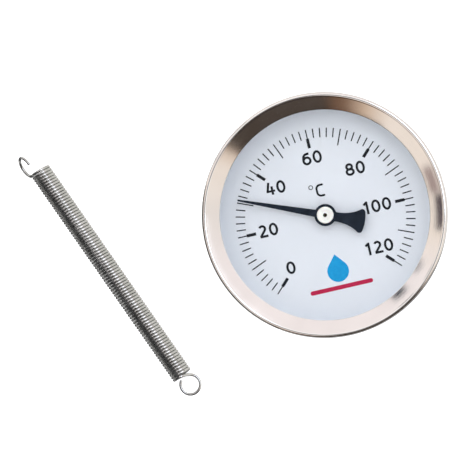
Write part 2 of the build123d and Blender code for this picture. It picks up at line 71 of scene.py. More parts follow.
CAD_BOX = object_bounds()
MM = 0.001

# ---------------------------------------------------------------- sizes that the frame doesn't say

BEZEL_OPENING = 26.95 * MM
BEZEL_LIP_RADIUS = 0.75 * MM
BEZEL_SLOPE = math.radians(27)
BEZEL_SHEET = 0.4 * MM
BEZEL_CRIMP_BEND = 0.35 * MM
# the lip rolls past the band's slope into a shallow valley, and the band is slightly crowned
VALLEY_SLOPE = math.radians(40)
VALLEY_BEND = 0.5 * MM
BAND_CROWN = math.radians(3)
# how far the crimp reaches in under the flange, and how far the skirt's middle line stops short of the lip
CRIMP_REACH = 0.6 * MM
SKIRT_STOP = 0.5 * MM
LIP_STEPS = 24
VALLEY_STEPS = 8
BAND_STEPS = 16

CASE_SHEET = 0.5 * MM
WELL_RADIUS = 17.0 * MM
CASE_RADIUS = 30.2 * MM
CASE_BACK_Z = 4.5 * MM
# bends of the case's middle line: well floor, well top, pan and flange
CASE_BENDS = (1.0 * MM, 0.9 * MM, 2.2 * MM, 0.4 * MM)
CASE_BEND_STEPS = 12

LENS_EASE = 0.2 * MM
CONTACT_EASE = 0.25 * MM
STEM_RADIUS = 2.6 * MM
TOOL_MARK = 0.35 * MM
TOOL_MARK_DEPTH = 0.06 * MM

# how far the cut edges of the pointer and the saddle are rounded
POINTER_EDGE = 0.05 * MM
SADDLE_EDGE = 0.18 * MM

RIVET_X = 13.8 * MM
RIVET_RADIUS = 1.2 * MM
RIVET_UPPER_HEAD = 1.4 * MM
RIVET_HEAD_HEIGHT = 0.8 * MM

BUSH_SHANK = 1.0 * MM
BUSH_COLLAR = 1.7 * MM
BUSH_EASE = 0.3 * MM
# the dish in the bush's head, as radii and depths from its rim inwards, and its depth at the bore
BUSH_DISH = ((1.45 * MM, 0.01 * MM), (1.2 * MM, 0.10 * MM), (0.75 * MM, 0.12 * MM))
BORE_DEPTH = 0.10 * MM

SPINDLE_FOOT_CONE = 0.2 * MM
SPINDLE_EASE = 0.08 * MM
CENTRE_HOLE = 0.3 * MM
CENTRE_HOLE_EASE = 0.05 * MM
CENTRE_HOLE_CONE = 0.1 * MM
# deeper than the CAD's hole, so that it looks dark
CENTRE_HOLE_DEPTH = 1.6 * MM

SPRING_WIRE = 0.75 * MM
SPRING_PITCH = 0.8 * MM
SPRING_TURNS = 83
SPRING_CENTRE = Vector((-59.2, -2.1, -3.15)) * MM
SPRING_ANGLE = math.radians(-68)
SPRING_OUTER_RADIUS = 2.85 * MM
EYE_RADIUS = 2.6 * MM
EYE_OFFSET = 0.4 * MM
EYE_LAP = 0.1 * MM
EYE_ENTRY = math.radians(118)
EYE_END = math.radians(-146)
HOOK_RADIUS = 2.8 * MM
HOOK_TILT = math.radians(62)
HOOK_SWEEP = math.radians(270)
HOOK_LEAVE = math.radians(22)
# turns of the winding that the bends into the hook and the eye take up, and how wide those bends swing
HOOK_BEND_TURNS = 0.10
EYE_BEND_TURNS = 0.80
HOOK_BEND_PULL = 0.7 * MM
EYE_BEND_PULL = 1.35 * MM
HOOK_STEPS = 40
HOOK_BEND_STEPS = 8
STEPS_PER_TURN = 36
EYE_STEPS = 44

# the two stage cards beside the spring: distances from its axis and heights
FLAG_DISTANCE = 20 * MM
FLAG_HEIGHT = 75 * MM
FLAG_SOLID_HEIGHT = 26 * MM
REFLECTOR_FOOT = 4 * MM
REFLECTOR_HEAD = 13 * MM
REFLECTOR_HEIGHT = 12 * MM

TURNED_STEPS = 288
SMALL_TURNED_STEPS = 64
BUSH_STEPS = 96

# edges sharper than this many degrees stay sharp in a piece that was rounded or is wire
ROUNDED_LIMIT = 50
# faces within this many degrees of each other are joined up before a CAD mesh is rounded
FLAT_LIMIT = 1.0

# ---------------------------------------------------------------- meshes


def new_piece(name, points, faces, sharp=35):
    """A piece made of points and faces, shaded smooth except across edges sharper than that many degrees."""
    mesh = bpy.data.meshes.new(name)
    mesh.from_pydata(points, [], faces)
    work = bmesh.new()
    work.from_mesh(mesh)
    bmesh.ops.remove_doubles(work, verts=work.verts, dist=1e-7)
    bmesh.ops.recalc_face_normals(work, faces=work.faces)
    shade(work, sharp)
    work.to_mesh(mesh)
    work.free()
    piece = bpy.data.objects.new(name, mesh)
    bpy.context.scene.collection.objects.link(piece)
    keep_flats_flat(piece)
    return piece


def keep_flats_flat(piece):
    """Weights a piece's normals by face area, so that flat faces stay flat beside their rounded edges."""
    piece.modifiers.new("weigh", "WEIGHTED_NORMAL").keep_sharp = True
    weighed = bpy.data.meshes.new_from_object(piece.evaluated_get(bpy.context.evaluated_depsgraph_get()))
    piece.modifiers.clear()
    piece.data = weighed


def shade(work, sharp):
    """Smooth faces, with the edges past a limit angle marked sharp."""
    for face in work.faces:
        face.smooth = True
    for edge in work.edges:
        edge.smooth = edge.calc_face_angle(math.pi) < math.radians(sharp)


def arc(centre, radius, start, end, count=10):
    """Points along an arc, with angles in radians."""
    steps = [start + (end - start) * i / count for i in range(count + 1)]
    return [(centre[0] + radius * math.cos(a), centre[1] + radius * math.sin(a)) for a in steps]


def bent(corners, radii, count=8):
    """A line through corners, with each inner corner rounded to its radius."""
    line = [corners[0]]
    for i, radius in enumerate(radii, start=1):
        before, corner, after = (Vector(c) for c in corners[i - 1 : i + 2])
        back, on = (before - corner).normalized(), (after - corner).normalized()
        half = back.angle(on) / 2
        centre = corner + (back + on).normalized() * (radius / math.sin(half))
        start = corner + back * (radius / math.tan(half)) - centre
        end = corner + on * (radius / math.tan(half)) - centre
        turn = start.angle_signed(end)
        for k in range(count + 1):
            a = -turn * k / count
            line.append(
                (
                    centre.x + start.x * math.cos(a) - start.y * math.sin(a),
                    centre.y + start.x * math.sin(a) + start.y * math.cos(a),
                )
            )
    line.append(corners[-1])
    return line


def sheet_outline(line, thickness):
    """The closed outline of a sheet of even thickness about its middle line, with rounded cut edges."""
    half = thickness / 2
    end_steps = 4
    end_inset = half * 0.6
    points = [Vector(p) for p in line]
    sides = ([], [])
    ends = []
    for i, point in enumerate(points):
        before = points[max(i - 1, 0)]
        after = points[min(i + 1, len(points) - 1)]
        along = (after - before).normalized()
        across = Vector((-along.y, along.x))
        inset = end_inset if i in (0, len(points) - 1) else 0
        step = along * (inset if i == 0 else -inset)
        sides[0].append(point + across * half + step)
        sides[1].append(point - across * half + step)
        if inset:
            ends.append((point, across, step))
    outline = list(sides[0])
    point, across, step = ends[1]
    outline += [round_end(point, across, step, half, k, end_steps) for k in range(1, end_steps)]
    outline += reversed(sides[1])
    point, across, step = ends[0]
    outline += [round_end(point, -across, step, half, k, end_steps) for k in range(1, end_steps)]
    return [tuple(p) for p in outline]


def round_end(point, across, step, half, k, count):
    """One point of a sheet's rounded cut edge."""
    a = math.pi * k / count
    return point + across * (half * math.cos(a)) + step * (1 - math.sin(a))


def turned(name, profile, closed=True, steps=TURNED_STEPS, centre=(0, 0)):
    """A profile of (radius, height) points turned about an upright axis."""
    count = len(profile)
    spans = count if closed else count - 1
    points, faces = [], []
    for i in range(steps):
        a = 2 * math.pi * i / steps
        points += [(centre[0] + r * math.cos(a), centre[1] + r * math.sin(a), z) for r, z in profile]
        here, there = i * count, (i + 1) % steps * count
        for k in range(spans):
            m = (k + 1) % count
            faces.append((here + k, there + k, there + m, here + m))
    return new_piece(name, points, faces)


def softened(name, node, radius, sharp=40):
    """A copy of a CAD node's mesh with its flat faces joined up and its sharp edges rounded."""
    mesh = frame["nodes"][node].data
    points = [v.co.copy() for v in mesh.vertices]
    faces = [tuple(p.vertices) for p in mesh.polygons]
    piece = new_piece(name, points, faces)
    work = bmesh.new()
    work.from_mesh(piece.data)
    bmesh.ops.dissolve_limit(work, angle_limit=math.radians(FLAT_LIMIT), verts=work.verts, edges=work.edges)
    limit = math.radians(sharp)
    edges = [e for e in work.edges if e.is_manifold and e.calc_face_angle() > limit]
    bmesh.ops.bevel(
        work,
        geom=edges,
        offset=radius,
        offset_type="OFFSET",
        segments=2,
        profile=0.5,
        affect="EDGES",
        clamp_overlap=True,
    )
    shade(work, ROUNDED_LIMIT)
    work.to_mesh(piece.data)
    work.free()
    keep_flats_flat(piece)
    return piece


def wire(name, path, radius, sides=12):
    """Round wire along a path, with blunt ends and a UV map of turn and length for its drawing lines."""
    rings = []
    side = path[1] - path[0]
    side = side.orthogonal().normalized()
    length = 0
    for i, point in enumerate(path):
        along = (path[min(i + 1, len(path) - 1)] - path[max(i - 1, 0)]).normalized()
        side = (side - along * side.dot(along)).normalized()
        other = along.cross(side)
        length += (point - path[max(i - 1, 0)]).length
        rings.append((point, side.copy(), other, along, length))
    rings = [rings[0], *rings, rings[-1]]
    end_reach = radius * 0.3
    end_radius = radius * 0.72
    points, faces, uvs = [], [], []
    for i, (point, side, other, along, _) in enumerate(rings):
        r = end_radius if i in (0, len(rings) - 1) else radius
        shift = Vector((0, 0, 0))
        if i == 0:
            shift = -along * end_reach
        elif i == len(rings) - 1:
            shift = along * end_reach
        for k in range(sides):
            a = 2 * math.pi * k / sides
            points.append(point + shift + (side * math.cos(a) + other * math.sin(a)) * r)
    for i in range(len(rings) - 1):
        for k in range(sides):
            m = (k + 1) % sides
            faces.append((i * sides + k, i * sides + m, (i + 1) * sides + m, (i + 1) * sides + k))
            low, high = rings[i][4] / MM, rings[i + 1][4] / MM
            uvs += [(k / sides, low), ((k + 1) / sides, low), ((k + 1) / sides, high), (k / sides, high)]
    faces.append(tuple(reversed(range(sides))))
    faces.append(tuple(range((len(rings) - 1) * sides, len(rings) * sides)))
    uvs += [(0, 0)] * (2 * sides)
    mesh = bpy.data.meshes.new(name)
    mesh.from_pydata(points, [], faces)
    layer = mesh.uv_layers.new(name="drawing")
    for loop, uv in zip(layer.data, uvs):
        loop.uv = uv
    work = bmesh.new()
    work.from_mesh(mesh)
    shade(work, ROUNDED_LIMIT)
    work.to_mesh(mesh)
    work.free()
    piece = bpy.data.objects.new(name, mesh)
    bpy.context.scene.collection.objects.link(piece)
    return piece


# ---------------------------------------------------------------- shader helpers


def add(tree, kind, inputs=None, **settings):
    """Adds a shader node, with its settings, and sets or links its inputs."""
    made = tree.nodes.new(kind)
    for name, value in settings.items():
        setattr(made, name, value)
    for name, value in (inputs or {}).items():
        if isinstance(value, bpy.types.NodeSocket):
            tree.links.new(value, made.inputs[name])
        else:
            made.inputs[name].default_value = value
    return made


def maths(tree, operation, a, b=0.0):
    """The result of one Math node."""
    return add(tree, "ShaderNodeMath", {0: a, 1: b}, operation=operation).outputs[0]


def times(tree, a, b):
    """A product."""
    return maths(tree, "MULTIPLY", a, b)


def noise(tree, vector, scale, detail=3.0, roughness=0.55):
    """The value of a noise pattern."""
    inputs = {"Vector": vector, "Scale": scale, "Detail": detail, "Roughness": roughness}
    return add(tree, "ShaderNodeTexNoise", inputs).outputs["Fac"]


def spread(tree, value, low, high, from_low=0.3, from_high=0.7):
    """A value mapped onto a range, without overshoot."""
    made = add(
        tree,
        "ShaderNodeMapRange",
        {"Value": value, "From Min": from_low, "From Max": from_high, "To Min": low, "To Max": high},
    )
    return made.outputs["Result"]


def tint(tree, value, low, high, from_low=0.3, from_high=0.7):
    """A colour between two, by a value."""
    share = spread(tree, value, 0, 1, from_low, from_high)
    made = add(tree, "ShaderNodeMix", {"Factor": share}, data_type="RGBA")
    made.inputs["A"].default_value = (*low, 1)
    made.inputs["B"].default_value = (*high, 1)
    return made.outputs["Result"]


def mixed(tree, share, a, b):
    """A mix of two colours, each a socket or a colour."""
    made = add(tree, "ShaderNodeMix", {"Factor": share}, data_type="RGBA")
    for name, value in (("A", a), ("B", b)):
        if isinstance(value, bpy.types.NodeSocket):
            tree.links.new(value, made.inputs[name])
        else:
            made.inputs[name].default_value = (*value, 1)
    return made.outputs["Result"]


def relief(tree, height, distance):
    """A bump from a height pattern, with its depth in metres."""
    made = add(tree, "ShaderNodeBump", {"Height": height, "Distance": distance, "Strength": 1.0})
    return made.outputs["Normal"]


def new_material(name):
    """An empty node material with its Principled shader."""
    material = bpy.data.materials.new(name)
    material.use_nodes = True
    tree = material.node_tree
    tree.nodes.clear()
    shader = add(tree, "ShaderNodeBsdfPrincipled")
    out = add(tree, "ShaderNodeOutputMaterial")
    tree.links.new(shader.outputs[0], out.inputs["Surface"])
    return material, tree, shader


def plug(tree, shader, **values):
    """Sets or links the shader's own sockets, with underscores for spaces."""
    for name, value in values.items():
        socket = shader.inputs[name.replace("_", " ")]
        if isinstance(value, bpy.types.NodeSocket):
            tree.links.new(value, socket)
        else:
            socket.default_value = value


def places(tree):
    """Points in the piece's own space, in metres."""
    return add(tree, "ShaderNodeTexCoord").outputs["Object"]


def stretched(tree, vector, x, y, z):
    """Points stretched along the axes."""
    return add(tree, "ShaderNodeMapping", {"Vector": vector, "Scale": (x, y, z)}).outputs[0]


def around_axis(tree, across, along):
    """Points for marks that run round the case axis: close together across it and long round the turn."""
    height_share = 1.7
    x, y, z = add(tree, "ShaderNodeSeparateXYZ", {0: places(tree)}).outputs
    radius = maths(tree, "SQRT", maths(tree, "ADD", times(tree, x, x), times(tree, y, y)))
    safe = maths(tree, "MAXIMUM", radius, 1e-5)
    cosine = maths(tree, "DIVIDE", x, safe)
    sine = maths(tree, "DIVIDE", y, safe)
    depth = times(tree, maths(tree, "ADD", radius, times(tree, z, height_share)), across)
    parts = {0: times(tree, cosine, along), 1: times(tree, sine, along), 2: depth}
    return add(tree, "ShaderNodeCombineXYZ", parts).outputs[0]


# ---------------------------------------------------------------- materials


def bezel_steel():
    """Bright pressed steel, polished round the turn, with faint rings, handling haze and small scratches."""
    material, tree, shader = new_material("bezel_steel")
    rings = noise(tree, around_axis(tree, 9000, 2.5), 1.0, 2)
    haze = noise(tree, places(tree), 90, 4)
    scratch = noise(tree, stretched(tree, places(tree), 2200, 260, 700), 1.0, 3)
    fine = maths(tree, "ADD", spread(tree, rings, -0.02, 0.02), spread(tree, haze, 0.10, 0.15))
    rough = maths(tree, "ADD", fine, spread(tree, scratch, 0, 0.06, 0.6, 0.75))
    plug(
        tree,
        shader,
        Base_Color=tint(tree, haze, (0.86, 0.83, 0.80), (0.92, 0.89, 0.86)),
        Metallic=1.0,
        Roughness=rough,
        Normal=relief(tree, rings, 0.000004),
    )
    return material


def case_steel():
    """Deep-drawn plated steel, duller than the bezel, with long rings from the drawing die."""
    material, tree, shader = new_material("case_steel")
    rings = noise(tree, around_axis(tree, 2600, 3.0), 1.0, 3)
    haze = noise(tree, places(tree), 60, 5)
    plug(
        tree,
        shader,
        Base_Color=tint(tree, haze, (0.62, 0.61, 0.60), (0.74, 0.73, 0.71)),
        Metallic=1.0,
        Roughness=maths(tree, "ADD", spread(tree, rings, 0.24, 0.34), spread(tree, haze, 0, 0.1)),
        Normal=relief(tree, rings, 0.00001),
    )
    return material


def saddle_aluminium():
    """Rolled aluminium sheet: a grain along the strip, soft oxide clouds and a few deeper scores."""
    material, tree, shader = new_material("saddle_aluminium")
    spot = places(tree)
    grain = noise(tree, stretched(tree, spot, 160, 9000, 9000), 1.0, 3)
    clouds = noise(tree, spot, 130, 5, 0.6)
    scores = noise(tree, stretched(tree, spot, 900, 5200, 3000), 1.0, 2)
    rough = maths(tree, "ADD", spread(tree, grain, 0.28, 0.40), spread(tree, clouds, -0.04, 0.12))
    plug(
        tree,
        shader,
        Base_Color=tint(tree, clouds, (0.66, 0.67, 0.69), (0.82, 0.83, 0.84)),
        Metallic=1.0,
        Roughness=maths(tree, "ADD", rough, spread(tree, scores, 0, 0.15, 0.64, 0.78)),
        Normal=relief(tree, maths(tree, "ADD", grain, times(tree, clouds, 0.5)), 0.000008),
    )
    return material


def plain_steel(name, dark, bright, rough):
    """Plated steel of small pressed parts, with a fine mottled skin."""
    material, tree, shader = new_material(name)
    mottle = noise(tree, places(tree), 900, 4)
    clouds = noise(tree, places(tree), 150, 3)
    fine = spread(tree, mottle, rough - 0.05, rough + 0.07)
    plug(
        tree,
        shader,
        Base_Color=tint(tree, clouds, dark, bright),
        Metallic=1.0,
        Roughness=maths(tree, "ADD", fine, spread(tree, clouds, 0, 0.06)),
        Normal=relief(tree, mottle, 0.000006),
    )
    return material


def turned_brass(name, dark, bright):
    """Turned brass with tool rings and a tarnish that comes and goes."""
    material, tree, shader = new_material(name)
    rings = noise(tree, around_axis(tree, 6000, 0.6), 1.0, 2)
    tarnish = noise(tree, places(tree), 420, 5, 0.6)
    plug(
        tree,
        shader,
        Base_Color=tint(tree, tarnish, dark, bright),
        Metallic=1.0,
        Roughness=maths(tree, "ADD", spread(tree, rings, 0.17, 0.27), spread(tree, tarnish, 0.08, 0)),
        Normal=relief(tree, rings, 0.000012),
    )
    return material


def bimetal_strip():
    """Bimetal strip: pale on one side and warmer on the other, with rolling lines along its length."""
    material, tree, shader = new_material("bimetal_strip")
    spot = places(tree)
    lines = noise(tree, stretched(tree, spot, 90, 90, 9000), 1.0, 3)
    stains = noise(tree, spot, 300, 4)
    outward = add(tree, "ShaderNodeVectorMath", {0: spot, 1: (1, 1, 0)}, operation="MULTIPLY").outputs[0]
    outward = add(tree, "ShaderNodeVectorMath", {0: outward}, operation="NORMALIZE").outputs[0]
    normal = add(tree, "ShaderNodeTexCoord").outputs["Normal"]
    facing = add(tree, "ShaderNodeVectorMath", {0: outward, 1: normal}, operation="DOT_PRODUCT")
    facing = facing.outputs["Value"]
    warm = tint(tree, stains, (0.55, 0.42, 0.30), (0.68, 0.53, 0.38))
    pale = tint(tree, stains, (0.58, 0.57, 0.54), (0.72, 0.71, 0.68))
    plug(
        tree,
        shader,
        Base_Color=mixed(tree, spread(tree, facing, 0, 1, -0.1, 0.1), pale, warm),
        Metallic=1.0,
        Roughness=spread(tree, lines, 0.25, 0.42),
        Normal=relief(tree, lines, 0.000006),
    )
    return material


def spring_wire():
    """Drawn spring wire: die lines along its length and a patchy, slightly straw-coloured film."""
    material, tree, shader = new_material("spring_steel")
    run = add(tree, "ShaderNodeTexCoord").outputs["UV"]
    lines = noise(tree, stretched(tree, run, 9, 0.25, 1), 1.0, 2)
    film = noise(tree, places(tree), 260, 3)
    plug(
        tree,
        shader,
        Base_Color=tint(tree, film, (0.55, 0.55, 0.535), (0.70, 0.70, 0.69)),
        Metallic=1.0,
        Roughness=maths(tree, "ADD", spread(tree, lines, 0.10, 0.20), spread(tree, film, 0, 0.05)),
        Normal=relief(tree, lines, 0.000005),
    )
    return material


def lens_glass():
    """Clear float glass that lets lamps through to the dial."""
    material, tree, shader = new_material("lens_glass")
    wave = noise(tree, places(tree), 45, 1)
    plug(
        tree,
        shader,
        Base_Color=(0.985, 0.995, 1.0, 1),
        Roughness=0.0,
        IOR=1.5,
        Transmission_Weight=1.0,
        Normal=relief(tree, wave, 0.000002),
    )
    clear = add(tree, "ShaderNodeBsdfTransparent", {"Color": (0.95, 0.965, 0.975, 1)})
    shadow = add(tree, "ShaderNodeLightPath").outputs["Is Shadow Ray"]
    mix = add(tree, "ShaderNodeMixShader", {0: shadow, 1: shader.outputs[0], 2: clear.outputs[0]})
    tree.links.new(mix.outputs[0], tree.nodes["Material Output"].inputs["Surface"])
    return material


def gasket_rubber():
    """Black rubber with a dusty bloom."""
    material, tree, shader = new_material("gasket_rubber")
    bloom = noise(tree, places(tree), 500, 5, 0.65)
    plug(
        tree,
        shader,
        Base_Color=tint(tree, bloom, (0.018, 0.018, 0.018), (0.06, 0.058, 0.055)),
        Roughness=spread(tree, bloom, 0.55, 0.8),
        Specular_IOR_Level=0.35,
        Normal=relief(tree, bloom, 0.00001),
    )
    return material


def ring_plastic():
    """Pale moulded plastic with a fine spark texture."""
    material, tree, shader = new_material("ring_plastic")
    spark = noise(tree, places(tree), 2600, 3, 0.6)
    flow = noise(tree, around_axis(tree, 300, 2.0), 1.0, 3)
    plug(
        tree,
        shader,
        Base_Color=tint(tree, flow, (0.66, 0.69, 0.73), (0.74, 0.77, 0.81)),
        Roughness=spread(tree, spark, 0.42, 0.58),
        Normal=relief(tree, spark, 0.000008),
    )
    return material


def dial_white():
    """Cool white stove enamel on the dial plate, with a faint orange peel and an uneven film."""
    material, tree, shader = new_material("dial_white")
    spot = places(tree)
    peel = noise(tree, spot, 1500, 2)
    film = noise(tree, spot, 70, 4)
    plug(
        tree,
        shader,
        Base_Color=tint(tree, film, (0.855, 0.885, 0.93), (0.88, 0.908, 0.95)),
        Roughness=spread(tree, peel, 0.36, 0.46),
        Normal=relief(tree, peel, 0.000003),
    )
    return material


def ink(name, thin, full, rough=0.5):
    """Pad-printed ink: a dull film, a little uneven."""
    material, tree, shader = new_material(name)
    film = noise(tree, places(tree), 1400, 4, 0.6)
    plug(
        tree,
        shader,
        Base_Color=tint(tree, film, full, thin, 0.35, 0.8),
        Roughness=spread(tree, film, rough - 0.06, rough + 0.12),
        Specular_IOR_Level=0.08,
        Normal=relief(tree, film, 0.000004),
    )
    return material


def pointer_black():
    """Blue-black matt lacquer on rolled sheet, with the grain along the blade and faintly paler places."""
    material, tree, shader = new_material("pointer_black")
    spot = places(tree)
    grain = noise(tree, stretched(tree, spot, 300, 7000, 7000), 1.0, 3)
    rub = noise(tree, spot, 380, 4, 0.6)
    plug(
        tree,
        shader,
        Base_Color=tint(tree, rub, (0.004, 0.008, 0.016), (0.012, 0.020, 0.034)),
        Roughness=maths(tree, "ADD", spread(tree, grain, 0.34, 0.44), spread(tree, rub, 0, 0.1)),
        Specular_IOR_Level=0.12,
        Normal=relief(tree, grain, 0.000005),
    )
    return material


def bush_ivory():
    """Ivory moulded plastic, slightly translucent, with a soft gloss."""
    material, tree, shader = new_material("bush_ivory")
    cloud = noise(tree, places(tree), 900, 3)
    plug(
        tree,
        shader,
        Base_Color=tint(tree, cloud, (0.83, 0.81, 0.74), (0.89, 0.87, 0.81)),
        Roughness=spread(tree, cloud, 0.26, 0.36),
        Subsurface_Weight=0.25,
        Subsurface_Scale=0.0004,
        Normal=relief(tree, cloud, 0.000006),
    )
    return material


def floor_paper():
    """Plain white backdrop paper. Mirror rays pass through it, and so does a look from below."""
    material, tree, shader = new_material("floor_paper")
    tooth = noise(tree, places(tree), 700, 3)
    plug(
        tree,
        shader,
        Base_Color=tint(tree, tooth, (0.95, 0.95, 0.95), (0.97, 0.97, 0.97)),
        Roughness=spread(tree, tooth, 0.75, 0.9),
        Specular_IOR_Level=0.0,
        Emission_Color=(1, 1, 1, 1),
        Emission_Strength=0.3,
    )
    mirror = add(tree, "ShaderNodeLightPath").outputs["Is Glossy Ray"]
    below = add(tree, "ShaderNodeNewGeometry").outputs["Backfacing"]
    show_by(tree, shader, maths(tree, "SUBTRACT", 1, maths(tree, "MAXIMUM", mirror, below)))
    return material


MATERIALS = {
    "case_steel": case_steel(),
    "bezel_steel": bezel_steel(),
    "lens_glass": lens_glass(),
    "gasket_rubber": gasket_rubber(),
    "ring_plastic": ring_plastic(),
    "dial_white": dial_white(),
    "ink_black": ink("ink_black", (0.030, 0.032, 0.038), (0.008, 0.009, 0.012)),
    "ink_blue": ink("ink_blue", (0.020, 0.42, 0.80), (0.012, 0.33, 0.70)),
    "ink_red": ink("ink_red", (0.62, 0.035, 0.10), (0.52, 0.018, 0.065)),
    "bimetal_strip": bimetal_strip(),
    "brass": turned_brass("brass", (0.56, 0.36, 0.13), (0.85, 0.63, 0.30)),
    "bridge_steel": plain_steel("bridge_steel", (0.50, 0.50, 0.50), (0.68, 0.68, 0.67), 0.34),
    "saddle_aluminium": saddle_aluminium(),
    "rivet_steel": plain_steel("rivet_steel", (0.58, 0.57, 0.55), (0.76, 0.75, 0.73), 0.27),
    "pointer_black": pointer_black(),
    "bush_ivory": bush_ivory(),
    "spring_steel": spring_wire(),
}
# brass darkened almost to black-brown for the spindle: painted shade, so that the spindle's end shows as a
# dark dot in the bush's bore
SHADE_DARK_BRASS = turned_brass("shade_dark_brass", (0.060, 0.042, 0.018), (0.16, 0.115, 0.055))


def dress(piece, slot):
    """Gives a piece the material of that record slot."""
    piece.data.materials.clear()
    piece.data.materials.append(MATERIALS[slot])
    return piece


def stands_for(piece, body, slot, *nodes):
    """A detailed piece takes the place of plain CAD nodes and rides on their body."""
    dress(piece, slot)
    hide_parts(*nodes)
    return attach(piece, body)


# ---------------------------------------------------------------- the case and its glass


def bezel():
    """The pressed bezel with its rolled lip, crowned band and crimped skirt."""
    low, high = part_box("bezel_ring")
    half = BEZEL_SHEET / 2
    skirt = high.x - half
    lip = BEZEL_LIP_RADIUS - half
    lip_centre = (skirt - lip, high.z - BEZEL_LIP_RADIUS)
    crimp_z = low.z + half
    crimp_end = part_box("case_shell")[1].x - CRIMP_REACH
    skirt_top = lip_centre[1] - SKIRT_STOP
    line = bent([(crimp_end, crimp_z), (skirt, crimp_z), (skirt, skirt_top)], [BEZEL_CRIMP_BEND])
    line += arc(lip_centre, lip, 0, math.pi / 2 + VALLEY_SLOPE, LIP_STEPS)
    flattest = BEZEL_SLOPE - BAND_CROWN
    for k in range(1, VALLEY_STEPS + 1):
        steepness = VALLEY_SLOPE + (flattest - VALLEY_SLOPE) * k / VALLEY_STEPS
        line.append(down_slope(line[-1], steepness, VALLEY_BEND * (VALLEY_SLOPE - flattest) / VALLEY_STEPS))
    run = line[-1][0] - BEZEL_OPENING - half * math.sin(BEZEL_SLOPE)
    for k in range(BAND_STEPS):
        steepness = flattest + 2 * BAND_CROWN * (k + 0.5) / BAND_STEPS
        line.append(down_slope(line[-1], steepness, run / BAND_STEPS / math.cos(steepness)))
    piece = turned("bezel_pressed", sheet_outline(line, BEZEL_SHEET))
    return stands_for(piece, "case", "bezel_steel", "bezel_ring")


def down_slope(point, steepness, length):
    """The next point of a section that falls towards the axis."""
    return (point[0] - length * math.cos(steepness), point[1] - length * math.sin(steepness))


def case():
    """The drawn cup: the well for the bimetal, the shallow pan and the flange."""
    low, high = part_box("case_shell")
    half = CASE_SHEET / 2
    line = bent(
        [
            (STEM_RADIUS, low.z + half),
            (WELL_RADIUS - half, low.z + half),
            (WELL_RADIUS - half, CASE_BACK_Z + half),
            (CASE_RADIUS - half, CASE_BACK_Z + half),
            (CASE_RADIUS - half, high.z - half),
            (high.x, high.z - half),
        ],
        CASE_BENDS,
        CASE_BEND_STEPS,
    )
    piece = turned("case_drawn", sheet_outline(line, CASE_SHEET))
    return stands_for(piece, "case", "case_steel", "case_shell")


def glass():
    """The flat lens with eased edges."""
    low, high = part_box("lens")
    inner = high.x - LENS_EASE
    edge = arc((inner, low.z + LENS_EASE), LENS_EASE, -math.pi / 2, 0, 5)
    edge += arc((inner, high.z - LENS_EASE), LENS_EASE, 0, math.pi / 2, 5)
    piece = turned("lens_flat", [(0, low.z), *edge, (0, high.z)], closed=False)
    return stands_for(piece, "case", "lens_glass", "lens")


def contact():
    """The brass disc that meets the pipe, with an eased rim and a shallow tool mark at its centre."""
    low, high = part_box("contact_disc")
    stem_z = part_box("case_shell")[0].z
    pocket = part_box("lower_bearing")[1].x
    pocket_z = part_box("lower_bearing")[0].z
    profile = [(0, low.z + TOOL_MARK_DEPTH), (TOOL_MARK, low.z)]
    profile += arc((high.x - CONTACT_EASE, low.z + CONTACT_EASE), CONTACT_EASE, -math.pi / 2, 0, 6)
    profile += [(high.x, stem_z), (STEM_RADIUS, stem_z), (STEM_RADIUS, high.z)]
    profile += [(pocket, high.z), (pocket, pocket_z), (0, pocket_z)]
    piece = turned("contact_turned", profile, closed=False)
    return stands_for(piece, "case", "brass", "contact_disc")


def saddle():
    """The notched channel with its hook ears, its cut edges rounded."""
    piece = softened("saddle_pressed", "pipe_saddle", SADDLE_EDGE)
    return stands_for(piece, "case", "saddle_aluminium", "pipe_saddle")


def rivets():
    """The two domed rivets that hold the saddle to the case."""
    low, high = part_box("saddle_rivets")
    head = high.x - RIVET_X
    under = low.z + RIVET_HEAD_HEIGHT
    over = high.z - RIVET_HEAD_HEIGHT
    for number, side in enumerate((-1, 1), start=1):
        profile = [(0, low.z)]
        profile += dome(head, low.z, under)
        profile += [(RIVET_RADIUS, under), (RIVET_RADIUS, over)]
        profile += reversed(dome(RIVET_UPPER_HEAD, high.z, over))
        profile.append((0, high.z))
        centre = (side * RIVET_X, 0)
        name = f"saddle_rivet_{number}"
        piece = turned(name, profile, closed=False, steps=SMALL_TURNED_STEPS, centre=centre)
        stands_for(piece, "case", "rivet_steel", "saddle_rivets")


def dome(radius, crown_z, rim_z):
    """A rivet head's curve, from near its crown to its rim: fuller than a round dome, tucked in below."""
    rise = rim_z - crown_z
    steps = 9
    fullness = 0.8
    curved_share, shoulder_share, rim_share = 0.8, 0.85, 0.97
    curve = []
    for k in range(1, steps):
        a = math.pi / 2 * k / steps
        curve.append((radius * math.sin(a) ** fullness, crown_z + rise * (1 - math.cos(a)) * curved_share))
    return [*curve, (radius, crown_z + rise * shoulder_share), (radius * rim_share, rim_z)]


# ---------------------------------------------------------------- the pointer


def pointer_blade():
    """The blade with its hub and fan tail, its sheared edges rounded."""
    piece = softened("pointer_blade", "pointer", POINTER_EDGE, sharp=50)
    return stands_for(piece, "pointer", "pointer_black", "pointer")


def bush():
    """The pale bush that grips the pointer, with a rounded head and a dished top."""
    low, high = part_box("pointer_bush")
    blade_low, blade_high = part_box("pointer")[0].z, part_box("pointer")[1].z
    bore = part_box("spindle")[1].x
    profile = [(bore, low.z), (BUSH_COLLAR, low.z), (BUSH_COLLAR, blade_low), (BUSH_SHANK, blade_low)]
    profile += [(BUSH_SHANK, blade_high), (high.x, blade_high)]
    profile += arc((high.x - BUSH_EASE, high.z - BUSH_EASE), BUSH_EASE, 0, math.pi / 2, 8)
    profile += [(radius, high.z - depth) for radius, depth in BUSH_DISH]
    profile.append((bore, high.z - BORE_DEPTH))
    piece = turned("bush_moulded", profile, steps=BUSH_STEPS)
    return stands_for(piece, "pointer", "bush_ivory", "pointer_bush")


